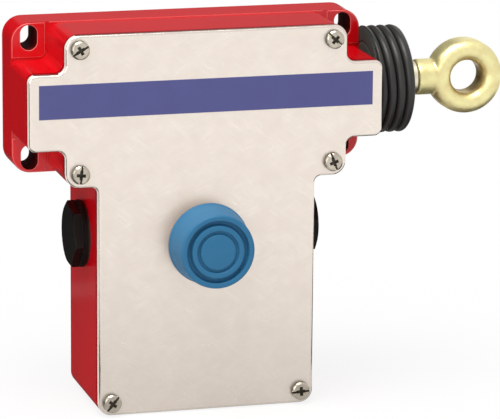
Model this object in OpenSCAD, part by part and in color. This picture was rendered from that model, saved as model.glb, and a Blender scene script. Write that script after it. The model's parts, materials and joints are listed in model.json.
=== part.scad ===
// Rope pull switch: a safety control box with a spring-loaded rope eye, a bellows
// and a latched reset button.
// Millimetres, Z up. X runs along the rope, the mounting face is the plane Y = 0,
// the cover faces -Y. The origin is the middle of the four fixing slots.

/* [Housing] */
// Width of the cross bar that carries the fixing ears
bar_w = 132.5; // [118:0.5:160]
// Height of the cross bar
bar_h = 56; // [52:0.5:66]
// Height of the whole housing, bar and leg
total_h = 142; // [130:0.5:170]
// Width of the leg below the bar
leg_w = 81.5; // [78:0.5:96]
// Depth of the housing, from the mounting face to the gasket
body_d = 41.6; // [40:0.2:56]
// Depth of the base flange and its four ears
ear_t = 15.5; // [10:0.5:22]
// Outer corner radius of the ears
ear_r = 7; // [3:0.5:9]
// Width of the notch cut in the body over each ear
notch_w = 13.6; // [12:0.2:15]
// Height of the notch over each ear
notch_h = 13.9; // [12:0.2:15]
// Height of the machined pads around the fixing slots
pad_t = 0.45; // [0.2:0.05:1]
// Thickness of the side walls
wall = 3.6; // [3:0.1:5]
// Thickness of the floor
floor_t = 4; // [3:0.5:6]

/* [Fixing slots] */
// Width of a fixing slot
slot_w = 6.3; // [5.3:0.1:6.6]
// Length of a fixing slot, end to end
slot_l = 9.3; // [7:0.1:10]
// Distance from a slot's middle to the side of its ear
slot_in_x = 6.65; // [6:0.05:7]
// Distance from a slot's middle to the top or bottom of its ear
slot_in_z = 5.7; // [5.5:0.05:6.4]

/* [Cover] */
// Thickness of the cover plate
cover_t = 3.2; // [2:0.1:5]
// Thickness of the gasket under the cover
gasket_t = 1.2; // [0.4:0.1:1.5]
// Radius of the lugs around the cover screws
lug_r = 5.2; // [4.6:0.1:6]
// Distance of the leg's two cover screws from its sides and end
foot_in = 4.9; // [4.6:0.1:6]
// Head diameter of the cover screws
head_d = 6.8; // [6:0.1:8]
// Head height of the cover screws
head_h = 2.2; // [1.5:0.1:3]
// Length of the coloured band on the cover
band_l = 124.8; // [60:0.4:124.8]
// Height of the coloured band on the cover
band_h = 12.5; // [6:0.5:16]
// Height of the band's middle above the slots' middle
band_z = 4.1; // [-4:0.1:6]

/* [Rope gear] */
// Depth of the rope axis, from the mounting face
pull_d = 21.5; // [21:0.1:23]
// Height of the rope axis above the slots' middle
pull_z = 2.3; // [0:0.1:2.6]
// Travel of the eye
travel = 10; // [4:0.5:10]
// Diameter of the pull shaft
shaft_d = 12; // [10:0.2:12.4]
// Outer diameter of the bellows over its ribs
bellows_d = 40.2; // [38:0.2:42]
// Distance of the first rib's middle from the bar's end
rib_in = 2.4; // [2.2:0.1:3.2]
// Pitch of the bellows' ribs
rib_pitch = 3.5; // [3:0.1:3.9]
// Distance of the eye's hole from the bar's end
eye_reach = 39.4; // [38:0.2:50]
// Outer diameter of the eye
eye_d = 28; // [24:0.1:32]
// Diameter of the eye's hole
eye_hole = 11.6; // [10:0.2:13]
// Thickness of the eye's ring, along the hole
eye_t = 8.6; // [8.4:0.1:10]
// Diameter of the eye's neck
neck_d = 13.5; // [11:0.1:14]

/* [Reset button] */
// Sideways place of the button
reset_x = 0.5; // [-1:0.1:1]
// Drop of the button below the slots' middle
reset_drop = 51; // [50:0.5:56]
// Travel of the button
press = 3.5; // [2:0.1:3.5]
// Diameter of the boot at the cover
boot_d = 30.2; // [29:0.1:34]
// Diameter of the boot's face
face_d = 27; // [25:0.2:28]
// Height of the boot above the cover
boot_h = 14.5; // [13.5:0.5:18]

/* [Cable entries] */
// Diameter of the tapped cable entries
entry_d = 20; // [16:0.5:20]
// Drop of the side entries below the slots' middle
entry_drop = 50.5; // [50:0.5:56]
// Across flats of the blanking plugs' hexagon
plug_af = 21.5; // [17:0.5:22]
// Flange diameter of the blanking plugs
plug_d = 25; // [24:0.2:27]
// Turn of the plugs' hexagons, front flat tilted up
plug_turn = 18; // [0:1:59]

/* [Terminals] */
// Width of the terminal strip
strip_w = 56; // [48:1:60]
// Height of the terminal strip
strip_h = 14; // [12:0.5:16]
// Thickness of the terminal strip
strip_t = 10; // [8:0.5:12]
// Height of the strip's middle above the foot
strip_up = 30; // [28:1:36]

/* [Contacts] */
// Width of the latch bracket that stands between the contact blocks
latch_w = 18.4; // [16:0.2:20]
// Gap between a contact block and the side wall of the leg
block_gap = 3.35; // [3:0.05:4]
// Slope of the trip cam's ramps
ramp = 0.3; // [0.2:0.05:0.3]

/* [Hidden] */
$fn = 96;
half_w = bar_w / 2;
half_h = bar_h / 2;
foot_z = half_h - total_h;                 // bottom of the leg
core_x = half_w - notch_w;                 // half width between the notches
arm_z = half_h - notch_h;                  // half height of the arms between the notches
slot_x = half_w - slot_in_x;
slot_z = half_h - slot_in_z;
gasket_y = body_d + gasket_t;
front_d = gasket_y + cover_t;              // depth of the cover's front
screw_x = core_x - lug_r;
screw_z = half_h - lug_r;
foot_x = leg_w / 2 - foot_in;
foot_sz = foot_z + foot_in;
screws = [[-screw_x, screw_z, 30], [screw_x, screw_z, -42],
          [-screw_x, -screw_z, 84], [screw_x, -screw_z, -70],
          [-foot_x, foot_sz, 50], [foot_x, foot_sz, 4]];
shank_r = 1.95;
corner_r = 3.2;                            // inner corner of a notch
pad_in = 0.3;                              // pad inside the ear's outer edges
pad_gap = 0.9;                             // gutter between pad and body
ledge = 0.35;                              // step along the bar's top, over the base
gasket_in = 0.8;                           // gasket inside the cover's outline
gap = 0.3;                                 // between a moving part and its guide
shaft_r = shaft_d / 2;
bush_out = shaft_r + 3;                    // thread of the rope bush
bush_in_x = half_w - 8.25;                 // its inner end
rope_z = pull_z;
seat_x = 30;                               // spring end of the trip cam
cam_x0 = -36;
cam_h0 = rope_z - shaft_r - 7.3;           // underside of the cam
cam_h1 = rope_z + 9;
cam_w = shaft_d + 6;
ramp_l = travel + 6;
reset_z = -reset_drop;
entry_z = -entry_drop;
entry_r = entry_d / 2;
leg_x = leg_w / 2;
eye_x = half_w + eye_reach;
eye_c = (eye_d - eye_hole) * 0.19;         // rounding of the ring's section
neck_x = half_w + 19.85;
neck_end = eye_x - eye_hole / 2 - neck_d / 2 - 0.8;
sleeve_x = neck_x - 0.1;                   // outer end of the pull shaft
block_top = cam_h0 - 2.6;
block_h = 25;
pin_out = 0.5;                             // latch pin's end, past its bracket
block_in = latch_w / 2 + pin_out + 0.5;    // inner side of a contact block
block_w = leg_x - wall - block_gap - block_in;
block_x = block_in + block_w / 2;          // middle of a contact block
block_edge = block_w / 2 - 3.4;            // sideways place of its screws and terminals
tip_z = cam_h0 + ramp * (ramp_l - 3) - 0.6;
pivot_y = pull_d + 4.5;                    // latch pivot, depth and height
pivot_z = reset_z + 21;
lever_front = pivot_y + 1.6;               // front of the lever's lower arm
plunger_tip = lever_front + 0.4;

// ---- 2D helpers, drawn in X and Z ----
module rbox(x0, z0, x1, z1, r) {
  translate([x0 + r, z0]) square([x1 - x0 - 2 * r, z1 - z0]);
  translate([x0, z0 + r]) square([x1 - x0, z1 - z0 - 2 * r]);
  for (x = [x0 + r, x1 - r], z = [z0 + r, z1 - r]) translate([x, z]) circle(r = r);
}
// material that rounds an inner corner at x, z, filling towards sx, sz
module inner(x, z, sx, sz, r) {
  translate([x, z]) difference() {
    translate([sx > 0 ? -0.01 : -r, sz > 0 ? -0.01 : -r]) square(r + 0.01);
    translate([sx * r, sz * r]) circle(r = r);
  }
}
module front(d, t) { translate([0, -d, 0]) rotate([90, 0, 0]) linear_extrude(t) children(); }
module on_y(x, z, d) { translate([x, -d, z]) rotate([90, 0, 0]) children(); }
module on_x(x) { translate([x, -pull_d, rope_z]) rotate([0, 90, 0]) children(); }

// base flange: the whole bar with its ears, and the leg
module base_2d() {
  rbox(-half_w, -half_h, half_w, half_h, ear_r);
  rbox(-leg_x, foot_z, leg_x, 0, foot_in);
  for (s = [-1, 1]) inner(s * leg_x, -half_h, s, -1, 2.5);
}
// the pads around the slots, one on each ear
module pads_2d() intersection() {
  rbox(-half_w + pad_in, -half_h + pad_in, half_w - pad_in, half_h - pad_in, ear_r - pad_in);
  for (s = [0, 1], t = [0, 1]) mirror([s, 0]) mirror([0, t])
    rbox(core_x + pad_gap, arm_z + pad_gap, half_w + 4, half_h + 4, corner_r - pad_gap);
}
// body and cover outline, i inside the nominal one, its top edge lowered by top
module face_2d(i = 0, top = 0) {
  rbox(-half_w + i, -arm_z + i, half_w - i, arm_z - i, 2.8);
  rbox(-core_x + i, -half_h + i, core_x - i, half_h - i - top, lug_r - i);
  rbox(-leg_x + i, foot_z + i, leg_x - i, 0, foot_in - i);
  for (s = [-1, 1]) {
    inner(s * (leg_x - i), -half_h + i, s, -1, 2.5);
    for (t = [-1, 1]) inner(s * (core_x - i), t * (arm_z - i), s, t, corner_r);
  }
}
// the room inside the walls, with the screw bosses left standing
module room_2d() {
  difference() {
    union() {
      rbox(-core_x + wall, -half_h + wall, core_x - wall, half_h - wall, 1);
      rbox(-half_w + wall, -arm_z + wall, 0, arm_z - wall, 1);
      rbox(-leg_x + wall, foot_z + wall, leg_x - wall, 0, 1);
    }
    for (s = screws) translate([s[0], s[1]]) circle(r = lug_r - 0.2);
  }
}

// ---- housing and cover ----
module housing() color([0.78, 0.05, 0.09]) difference() {
  union() {
    front(0, ear_t) base_2d();
    front(ear_t - 0.5, pad_t + 0.5) pads_2d();
    difference() {
      front(ear_t, body_d - ear_t) face_2d(0, ledge);
      front(floor_t + 20, body_d) room_2d();
    }
    // bosses inside the three cable entries
    for (s = [-1, 1]) translate([s * (leg_x - 3.2), -pull_d, entry_z]) rotate([0, 90, 0])
      cylinder(r = entry_r + 3, h = 6.3, center = true);
    translate([0, -pull_d, foot_z + 0.3]) cylinder(r = entry_r + 3, h = 6.7);
  }
  difference() {
    front(floor_t, body_d) room_2d();
    for (s = [-1, 1]) translate([s * (leg_x - 3.2), -pull_d, entry_z]) rotate([0, 90, 0])
      cylinder(r = entry_r + 3, h = 6.3, center = true);
    translate([0, -pull_d, foot_z]) cylinder(r = entry_r + 3, h = 7);
  }
  // fixing slots
  for (sx = [-1, 1], sz = [-1, 1]) translate([sx * slot_x, 0, sz * slot_z]) {
    for (d = [-1, 1]) translate([0, 1, d * (slot_l - slot_w) / 2]) rotate([90, 0, 0])
      cylinder(d = slot_w, h = ear_t + 2);
    translate([-slot_w / 2, -ear_t - 1, -(slot_l - slot_w) / 2]) cube([slot_w, ear_t + 2, slot_l - slot_w]);
  }
  // tapped holes for the cover screws
  for (s = screws) on_y(s[0], s[1], 27) cylinder(r = shank_r + 0.05, h = body_d);
  // tapped cable entries: two sides and the foot
  translate([-leg_x - 1, -pull_d, entry_z]) rotate([0, 90, 0]) cylinder(r = entry_r, h = leg_w + 2);
  translate([0, -pull_d, foot_z - 1]) cylinder(r = entry_r, h = 12);
  // bore for the rope bush, and the spring's room behind it
  on_x(bush_in_x - 1) cylinder(r = bush_out + 0.05, h = 12);
  on_x(0) cylinder(r = bush_out + 0.4, h = bush_in_x);
  // tapped holes for what is screwed to the floor
  floor_holes();
}
module floor_holes() {
  for (s = [-1, 1], p = block_screws) on_y(s * block_x + s * p[0], p[1], 1) cylinder(r = 1.6, h = 6);
  for (z = guide_screw_z) on_y(guide_x, z, 1) cylinder(r = 1.6, h = 6);
  for (z = [pivot_z + 7, pivot_z - 7]) on_y(0, z, 1) cylinder(r = 1.5, h = 6);
  for (x = [-1, 1]) on_y(x * strip_screw_x, strip_z, 1) cylinder(r = 1.6, h = 6);
  on_y(earth_x, earth_z, 1) cylinder(r = 2, h = 6);
}

module cover_gasket() color([0.07, 0.07, 0.07]) difference() {
  front(body_d, gasket_t) face_2d(gasket_in);
  front(body_d - 1, gasket_t + 2) difference() {
    room_2d();
    for (s = screws) translate([s[0], s[1]]) circle(r = lug_r);
  }
  for (s = screws) on_y(s[0], s[1], body_d - 1) cylinder(r = shank_r + 0.25, h = 4);
}

module cover_plate() color([0.9, 0.86, 0.8]) difference() {
  front(gasket_y, cover_t) face_2d();
  for (s = screws) on_y(s[0], s[1], body_d) cylinder(r = shank_r + 0.25, h = 10);
  on_y(reset_x, reset_z, body_d) cylinder(r = 8.2, h = 10);
}

module stripe_band() color([0.33, 0.34, 0.56])
  translate([-band_l / 2, -front_d - 0.25, band_z - band_h / 2]) cube([band_l, 0.25, band_h]);

module cover_screws() color([0.8, 0.76, 0.7])
  for (s = screws) on_y(s[0], s[1], 0) rotate([0, 0, s[2]]) difference() {
    union() {
      translate([0, 0, 29]) cylinder(r = shank_r, h = front_d - 28);
      translate([0, 0, front_d]) cylinder(d = head_d, h = head_h - 0.5);
      translate([0, 0, front_d + head_h - 0.5]) cylinder(d1 = head_d, d2 = head_d - 1.2, h = 0.5);
    }
    translate([-head_d / 2 - 1, -0.5, front_d + head_h - 1.1]) cube([head_d + 2, 1, 2]);
    for (a = [0, 90]) rotate([0, 0, a])
      translate([-1.7, -0.6, front_d + head_h - 1.6]) cube([3.4, 1.2, 3]);
  }

// ---- blanking plugs ----
module plug(s) {
  difference() {
    union() {
      cylinder(r = entry_r - 0.08, h = 7.4);
      translate([0, 0, 7.4]) cylinder(d = plug_d, h = 1.1);
      translate([0, 0, 8.5]) cylinder(d1 = plug_d, d2 = plug_d - 1.4, h = 0.6);
      translate([0, 0, 9.1]) rotate([0, 0, plug_turn]) intersection() {
        cylinder(r = plug_af / sqrt(3), h = 3.3, $fn = 6);
        union() {
          cylinder(r = plug_af / sqrt(3), h = 2.6);
          translate([0, 0, 2.6]) cylinder(r1 = plug_af / sqrt(3), r2 = plug_af / 2, h = 0.7);
        }
      }
    }
    translate([0, 0, -1]) cylinder(r = entry_r - 2.4, h = 7);
  }
}
module plug_left() color([0.07, 0.06, 0.06])
  translate([-leg_x + 6.6, -pull_d, entry_z]) rotate([0, -90, 0]) plug();
module plug_right() color([0.07, 0.06, 0.06])
  translate([leg_x - 6.6, -pull_d, entry_z]) rotate([0, 90, 0]) plug();
module plug_seals() color([0.12, 0.12, 0.12]) for (s = [-1, 1])
  translate([s * (leg_x + 0.4), -pull_d, entry_z]) rotate([0, 90, 0]) difference() {
    cylinder(d = plug_d - 1, h = 0.8, center = true);
    cylinder(r = entry_r - 0.02, h = 2, center = true);
  }

// ---- rope gear ----
module rope_eye() color([0.83, 0.74, 0.42]) {
  translate([eye_x, -pull_d, rope_z]) rotate([90, 0, 0]) rotate_extrude()
    rbox(eye_hole / 2, -eye_t / 2, eye_d / 2, eye_t / 2, eye_c);
  on_x(neck_x) cylinder(d = neck_d, h = neck_end - neck_x);
  translate([neck_end, -pull_d, rope_z]) sphere(d = neck_d);
  on_x(half_w - 2) cylinder(r = shaft_r - 2, h = neck_x - half_w + 3);
}

module pull_shaft() color([0.72, 0.73, 0.75]) difference() {
  on_x(-half_w + wall + 2.6) cylinder(r = shaft_r, h = sleeve_x + half_w - wall - 2.6);
  on_x(half_w - 3) cylinder(r = shaft_r - 1.95, h = 40);
  // groove for the stop ring, hole for the cam's pin
  on_x(stop_x) difference() {
    cylinder(r = shaft_r + 1, h = 1.2);
    translate([0, 0, -1]) cylinder(r = shaft_r - 0.8, h = 4);
  }
  on_y(pin_x, rope_z, 0) cylinder(r = 1.55, h = 50);
}
stop_x = -half_w + wall + 3.4;
pin_x = -12;

module stop_ring() color([0.35, 0.35, 0.37]) on_x(stop_x + 0.1) difference() {
  cylinder(r = shaft_r + 1.6, h = 1);
  translate([0, 0, -1]) cylinder(r = shaft_r - 0.75, h = 3);
  translate([0, -2, -1]) cube([shaft_r + 3, 4, 3]);
}

// the cam slides over the contact plungers; its ramps push them down as the rope is pulled
module trip_cam() color([0.86, 0.85, 0.8]) difference() {
  translate([cam_x0, -pull_d - cam_w / 2, cam_h0]) cube([seat_x - cam_x0, cam_w, cam_h1 - cam_h0]);
  on_x(cam_x0 - 1) cylinder(r = shaft_r + 0.05, h = seat_x - cam_x0 + 2);
  for (x = [-block_x, block_x]) translate([x + 3 - ramp_l, -pull_d + cam_w, cam_h0]) rotate([90, 0, 0])
    linear_extrude(cam_w * 2) polygon([[0, 0], [0, -1], [ramp_l, -1], [ramp_l, ramp * ramp_l]]);
  // the long notch the latch's nose sits in
  translate([-travel - nose_w / 2 - 0.6, -pull_d - cam_w / 2 - 1, nose_z - 2.6])
    cube([travel + nose_w + 1.2, 3, 8]);
  on_y(pin_x, rope_z, 0) cylinder(r = 1.55, h = 50);
}
nose_w = 8;
nose_z = cam_h0 + 7;

module cam_pin() color([0.6, 0.6, 0.62]) on_y(pin_x, rope_z, pull_d - cam_w / 2 + 0.6)
  cylinder(r = 1.5, h = cam_w - 1.2);

module spring_washer() color([0.7, 0.7, 0.72]) on_x(seat_x) difference() {
  cylinder(r = bush_out - 0.2, h = 1.5);
  translate([0, 0, -1]) cylinder(r = shaft_r + 0.05, h = 4);
}

// flanged bush screwed into the bar's end; its flange clamps the bellows' back wall
bel_r = bellows_d / 2;
cuff_t = 0.8;
flange_t = 2.5;
flange_r = bel_r - 2.6;
module gland_bush() color([0.7, 0.6, 0.35]) difference() {
  union() {
    on_x(bush_in_x) cylinder(r = bush_out, h = half_w - bush_in_x + cuff_t + 0.1);
    on_x(half_w + cuff_t) cylinder(r = flange_r, h = flange_t);
  }
  on_x(bush_in_x - 1) cylinder(r = shaft_r + gap, h = 20);
  // two holes for a pin spanner
  for (a = [90, 270]) on_x(half_w + cuff_t + 1) rotate([0, 0, a])
    translate([12.5, 0, 0]) cylinder(r = 1.5, h = 5);
}

end_in = rib_in + 3 * rib_pitch - 0.15;    // inner side of the bellows' end wall
module bellows() color([0.1, 0.1, 0.1]) on_x(half_w) rotate_extrude() difference() {
  union() {
    translate([bush_out + 0.4, 0]) square([bel_r - bush_out - 1, cuff_t]);
    translate([flange_r, 0]) square([2, rib_in + 1]);
    translate([bel_r - 3.6, cuff_t + flange_t]) square([2.2, end_in - cuff_t - flange_t + 0.2]);
    for (i = [0:3]) translate([bel_r - 1.95, rib_in + i * rib_pitch]) circle(r = 1.95);
    translate([shaft_r + 0.05, end_in]) square([bel_r - shaft_r - 1.6, 1.6]);
    translate([shaft_r + 0.05, end_in]) square([1.4, 3.6]);
  }
  for (i = [0:2]) translate([bel_r - 3.2, rib_in + (i + 0.5) * rib_pitch]) circle(r = 1);
  // room of the bush's flange, and a ring pressed in the back wall
  translate([0, cuff_t]) square([flange_r + 0.1, flange_t + 0.05]);
  translate([13.6, -1]) square([0.8, 1.3]);
}

// round wire wound about Z, from z = 0 to z = h over its middle line
module coil(r, w, n, h) {
  seg = 16; m = 6; k = n * seg;
  pts = [for (i = [0:k], j = [0:m - 1]) let (a = 360 * i / seg, b = 360 * j / m)
    [(r + w / 2 * cos(b)) * cos(a), (r + w / 2 * cos(b)) * sin(a),
     w / 2 + (h - w) * i / k + w / 2 * sin(b)]];
  polyhedron(pts, concat(
    [[for (j = [0:m - 1]) j]],
    [[for (j = [0:m - 1]) k * m + m - 1 - j]],
    [for (i = [0:k - 1], j = [0:m - 1]) let (p = i * m + j, q = i * m + (j + 1) % m) [p, p + m, q + m]],
    [for (i = [0:k - 1], j = [0:m - 1]) let (p = i * m + j, q = i * m + (j + 1) % m) [p, q + m, q]]));
}
module main_spring() color([0.6, 0.6, 0.62])
  on_x(seat_x + 1.55) coil(shaft_r + 1.8, 1.8, 5, bush_in_x - seat_x - 1.6);

// ---- guide at the blind end ----
guide_x = -core_x + wall + 4.6;
guide_screw_z = [rope_z - shaft_r - 3.2, rope_z + shaft_r + 3.2];
module left_guide() color([0.55, 0.56, 0.58]) difference() {
  translate([guide_x - 3, -pull_d - 12, rope_z - shaft_r - 6])
    cube([6, 12 + pull_d - floor_t, shaft_d + 12]);
  on_x(guide_x - 5) cylinder(r = shaft_r + gap, h = 10);
  for (z = guide_screw_z) on_y(guide_x, z, 0) cylinder(r = 1.65, h = 60);
}
module guide_screws() color([0.75, 0.75, 0.77]) for (z = guide_screw_z) on_y(guide_x, z, 0) {
  translate([0, 0, 1.4]) cylinder(r = 1.55, h = pull_d + 11);
  translate([0, 0, pull_d + 12]) cylinder(r = 2.7, h = 2);
}

// ---- contacts ----
block_screws = [[-block_edge, block_top - 4], [block_edge, block_top - block_h + 4]];
module block(s) difference() {
  translate([-block_w / 2, -pull_d - 11, block_top - block_h])
    cube([block_w, 11 + pull_d - floor_t, block_h]);
  translate([0, -pull_d, block_top - 14]) cylinder(r = 2 + gap, h = 20);
  for (p = block_screws) on_y(s * p[0], p[1], 0) cylinder(r = 1.65, h = 60);
  for (p = terminal_at) on_y(s * p[0], p[1], pull_d + 6.5) cylinder(r = 2.6, h = 10);
}
terminal_at = [[block_edge, block_top - 4], [block_edge, block_top - 11],
               [-block_edge, block_top - 12.5], [-block_edge, block_top - 20]];
module contact_block_left() color([0.2, 0.2, 0.22]) translate([-block_x, 0, 0]) block(-1);
module contact_block_right() color([0.2, 0.2, 0.22]) translate([block_x, 0, 0]) block(1);
module contact_screws() color([0.75, 0.75, 0.77]) for (s = [-1, 1], p = block_screws)
  on_y(s * block_x + s * p[0], p[1], 0) {
    translate([0, 0, 1.4]) cylinder(r = 1.55, h = pull_d + 10);
    translate([0, 0, pull_d + 11]) cylinder(r = 2.7, h = 2);
  }
module contact_terminals() color([0.8, 0.68, 0.35]) for (s = [-1, 1], p = terminal_at)
  on_y(s * block_x + s * p[0], p[1], pull_d + 6.5) difference() {
    cylinder(r = 2.3, h = 3.4);
    translate([-3, -0.35, 2.5]) cube([6, 0.7, 2]);
  }
module plunger(x) translate([x, -pull_d, 0]) {
  translate([0, 0, block_top - 10]) cylinder(r = 2, h = tip_z - block_top + 8.8);
  translate([0, 0, tip_z - 1.2]) cylinder(r1 = 2, r2 = 0.8, h = 1.2);
}
module contact_plunger_left() color([0.85, 0.2, 0.15]) plunger(-block_x);
module contact_plunger_right() color([0.85, 0.2, 0.15]) plunger(block_x);

// ---- latch ----
module latch_bracket() color([0.65, 0.66, 0.68]) difference() {
  union() {
    translate([-latch_w / 2, -floor_t - 1.5, pivot_z - 10]) cube([latch_w, 1.5, 20]);
    for (x = [-latch_w / 2, latch_w / 2 - 1.5]) translate([x, -pivot_y - 4, pivot_z - 5])
      cube([1.5, pivot_y + 4 - floor_t, 10]);
  }
  translate([-20, -pivot_y, pivot_z]) rotate([0, 90, 0]) cylinder(r = 1.55, h = 40);
  for (z = [pivot_z + 7, pivot_z - 7]) on_y(0, z, 0) cylinder(r = 1.6, h = 30);
}
module bracket_screws() color([0.75, 0.75, 0.77]) for (z = [pivot_z + 7, pivot_z - 7]) on_y(0, z, 0) {
  translate([0, 0, 1.3]) cylinder(r = 1.45, h = floor_t + 0.6);
  translate([0, 0, floor_t + 1.5]) cylinder(r = 2.6, h = 1.8);
}
module latch_pin() color([0.6, 0.6, 0.62])
  translate([-latch_w / 2 - pin_out, -pivot_y, pivot_z]) rotate([0, 90, 0])
    cylinder(r = 1.5, h = latch_w + 2 * pin_out);
module latch_lever() color([0.75, 0.72, 0.6]) difference() {
  union() {
    translate([-nose_w / 2, -pivot_y, pivot_z]) rotate([0, 90, 0]) cylinder(r = 4, h = nose_w);
    // lower arm, in front of the reset plunger's tip
    translate([-nose_w / 2, -lever_front, reset_z - 4]) cube([nose_w, 4, pivot_z - reset_z + 4]);
    // foot of the upper arm, the arm itself and its nose
    translate([-nose_w / 2, -pull_d - cam_w / 2 - 6, pivot_z - 3])
      cube([nose_w, cam_w / 2 + 6 - (pivot_y - pull_d), 6]);
    translate([-nose_w / 2, -pull_d - cam_w / 2 - 6, pivot_z - 3]) cube([nose_w, 4, nose_z - pivot_z + 5]);
    translate([-nose_w / 2, -pull_d - cam_w / 2 - 5, nose_z - 2]) cube([nose_w, 6.4, 4]);
  }
  translate([-20, -pivot_y, pivot_z]) rotate([0, 90, 0]) cylinder(r = 1.5 + gap, h = 40);
}
module latch_spring() color([0.6, 0.6, 0.62])
  on_y(0, reset_z + 4, floor_t + 0.05) coil(2.6, 0.7, 7, lever_front - 4 - floor_t - 0.1);

// ---- reset button ----
module reset_bush() color([0.75, 0.75, 0.77]) on_y(reset_x, reset_z, front_d - 10) difference() {
  union() {
    cylinder(r = 8, h = 10.1);
    translate([0, 0, 10]) cylinder(r = 11.5, h = 1.6);
  }
  translate([0, 0, -1]) cylinder(r = 3 + gap, h = 20);
}
module reset_nut() color([0.7, 0.7, 0.72]) on_y(reset_x, reset_z, gasket_y - 3) difference() {
  cylinder(r = 20 / sqrt(3), h = 3, $fn = 6);
  translate([0, 0, -1]) cylinder(r = 8.05, h = 6);
}
module reset_plunger() color([0.8, 0.8, 0.82]) on_y(reset_x, reset_z, plunger_tip) {
  cylinder(r1 = 2, r2 = 3, h = 1);
  translate([0, 0, 1]) cylinder(r = 3, h = front_d + boot_h - 3.8 - plunger_tip);
  translate([0, 0, front_d + boot_h - 4.4 - plunger_tip]) cylinder(r = 8, h = 1.7);
}
module reset_spring() color([0.6, 0.6, 0.62])
  on_y(reset_x, reset_z, front_d + 1.65) coil(5.6, 0.9, 4, boot_h - 6.1);
// blue rubber boot: its foot seals on the cover, its face carries the rings
module reset_boot() color([0.25, 0.49, 0.65]) on_y(reset_x, reset_z, front_d)
rotate_extrude() difference() {
  polygon([[0, 0], [boot_d / 2, 0], [boot_d / 2, 1.4], [boot_d / 2 - 0.5, 2],
           [face_d / 2 + 0.4, boot_h - 1.6], [face_d / 2, boot_h - 0.6],
           [face_d / 2 - 0.5, boot_h], [0, boot_h]]);
  translate([-1, -1]) square([13, 3]);
  polygon([[-1, 1.9], [12, 1.9], [11.2, boot_h - 2.65], [-1, boot_h - 2.65]]);
  translate([6.5, boot_h - 0.7]) square([1.2, 2]);
  translate([9.8, boot_h - 1.4]) square([1.8, 3]);
}

// ---- terminals in the leg ----
strip_z = foot_z + strip_up;
strip_screw_x = strip_w / 2 - 4;
way = strip_w / 7;                         // pitch of the five ways
way_z = strip_h / 2 - 3.4;
module terminal_strip() color([0.82, 0.8, 0.74]) difference() {
  union() {
    translate([-strip_w / 2, -floor_t - strip_t, strip_z - strip_h / 2]) cube([strip_w, strip_t, strip_h]);
    for (i = [-2:3]) translate([(i - 0.5) * way - 0.5, -floor_t - strip_t - 3, strip_z - strip_h / 2])
      cube([1, 3.5, strip_h]);
  }
  for (x = [-1, 1]) on_y(x * strip_screw_x, strip_z, 0) cylinder(r = 1.65, h = 40);
  for (i = [-2:2], z = [-way_z, way_z])
    on_y(i * way, strip_z + z, floor_t + strip_t - 4) cylinder(r = 2.5, h = 20);
}
module strip_screws() color([0.75, 0.75, 0.77]) for (x = [-1, 1]) on_y(x * strip_screw_x, strip_z, 0) {
  translate([0, 0, 1.4]) cylinder(r = 1.55, h = floor_t + strip_t - 1);
  translate([0, 0, floor_t + strip_t]) cylinder(r = 2.7, h = 2);
}
module terminal_screws() color([0.8, 0.68, 0.35]) for (i = [-2:2], z = [-way_z, way_z])
  on_y(i * way, strip_z + z, floor_t + strip_t - 4) difference() {
    cylinder(r = 2.2, h = 3.2);
    translate([-3, -0.35, 2.4]) cube([6, 0.7, 2]);
  }
earth_x = -strip_screw_x;
earth_z = foot_z + strip_up / 2;
module earth_screw() color([0.8, 0.68, 0.35]) on_y(earth_x, earth_z, 0) difference() {
  union() {
    translate([0, 0, 1.4]) cylinder(r = 1.95, h = floor_t);
    translate([0, 0, floor_t]) cylinder(r = 4.2, h = 0.9);
    translate([0, 0, floor_t + 0.8]) cylinder(r = 3.4, h = 2.4);
  }
  translate([-4, -0.45, floor_t + 2.2]) cube([8, 0.9, 3]);
}

housing();
cover_gasket();
cover_plate();
stripe_band();
cover_screws();
plug_left();
plug_right();
plug_seals();
gland_bush();
bellows();
main_spring();
left_guide();
guide_screws();
contact_block_left();
contact_block_right();
contact_screws();
contact_terminals();
latch_bracket();
bracket_screws();
latch_pin();
latch_spring();
terminal_strip();
strip_screws();
terminal_screws();
earth_screw();
reset_bush();
reset_nut();
reset_boot();
reset_spring();
rope_eye();
pull_shaft();
stop_ring();
trip_cam();
cam_pin();
spring_washer();
contact_plunger_left();
contact_plunger_right();
latch_lever();
reset_plunger();
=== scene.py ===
"""Rope pull switch: the finished surfaces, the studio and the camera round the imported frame."""

import json
import math

import bmesh
import bpy
from mathutils import Matrix, Vector


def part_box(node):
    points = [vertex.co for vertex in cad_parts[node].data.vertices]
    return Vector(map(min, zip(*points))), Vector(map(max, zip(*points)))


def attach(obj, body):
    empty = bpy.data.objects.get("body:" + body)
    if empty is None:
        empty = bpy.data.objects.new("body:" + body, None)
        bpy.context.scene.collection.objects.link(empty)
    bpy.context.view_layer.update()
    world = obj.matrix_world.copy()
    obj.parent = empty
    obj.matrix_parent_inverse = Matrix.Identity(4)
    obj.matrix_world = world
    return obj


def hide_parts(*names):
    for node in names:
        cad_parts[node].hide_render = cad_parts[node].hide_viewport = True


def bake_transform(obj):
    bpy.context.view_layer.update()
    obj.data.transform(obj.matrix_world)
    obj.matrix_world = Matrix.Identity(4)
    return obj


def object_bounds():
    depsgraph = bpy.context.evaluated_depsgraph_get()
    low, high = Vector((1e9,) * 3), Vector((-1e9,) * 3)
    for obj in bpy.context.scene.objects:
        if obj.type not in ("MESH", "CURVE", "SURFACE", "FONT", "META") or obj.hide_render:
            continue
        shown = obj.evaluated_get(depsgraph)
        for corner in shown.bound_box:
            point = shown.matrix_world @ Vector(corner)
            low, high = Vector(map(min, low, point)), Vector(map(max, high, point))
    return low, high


bl_info = {
    "name": "Rope Pull Switch",
    "version": (1, 0, 0),
    "blender": (4, 5, 0),
    "location": "3D View > Sidebar > Pull Switch",
    "description": "Finishes the pieces of a rope pull switch and sets up its studio",
    "category": "Object",
}

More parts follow.
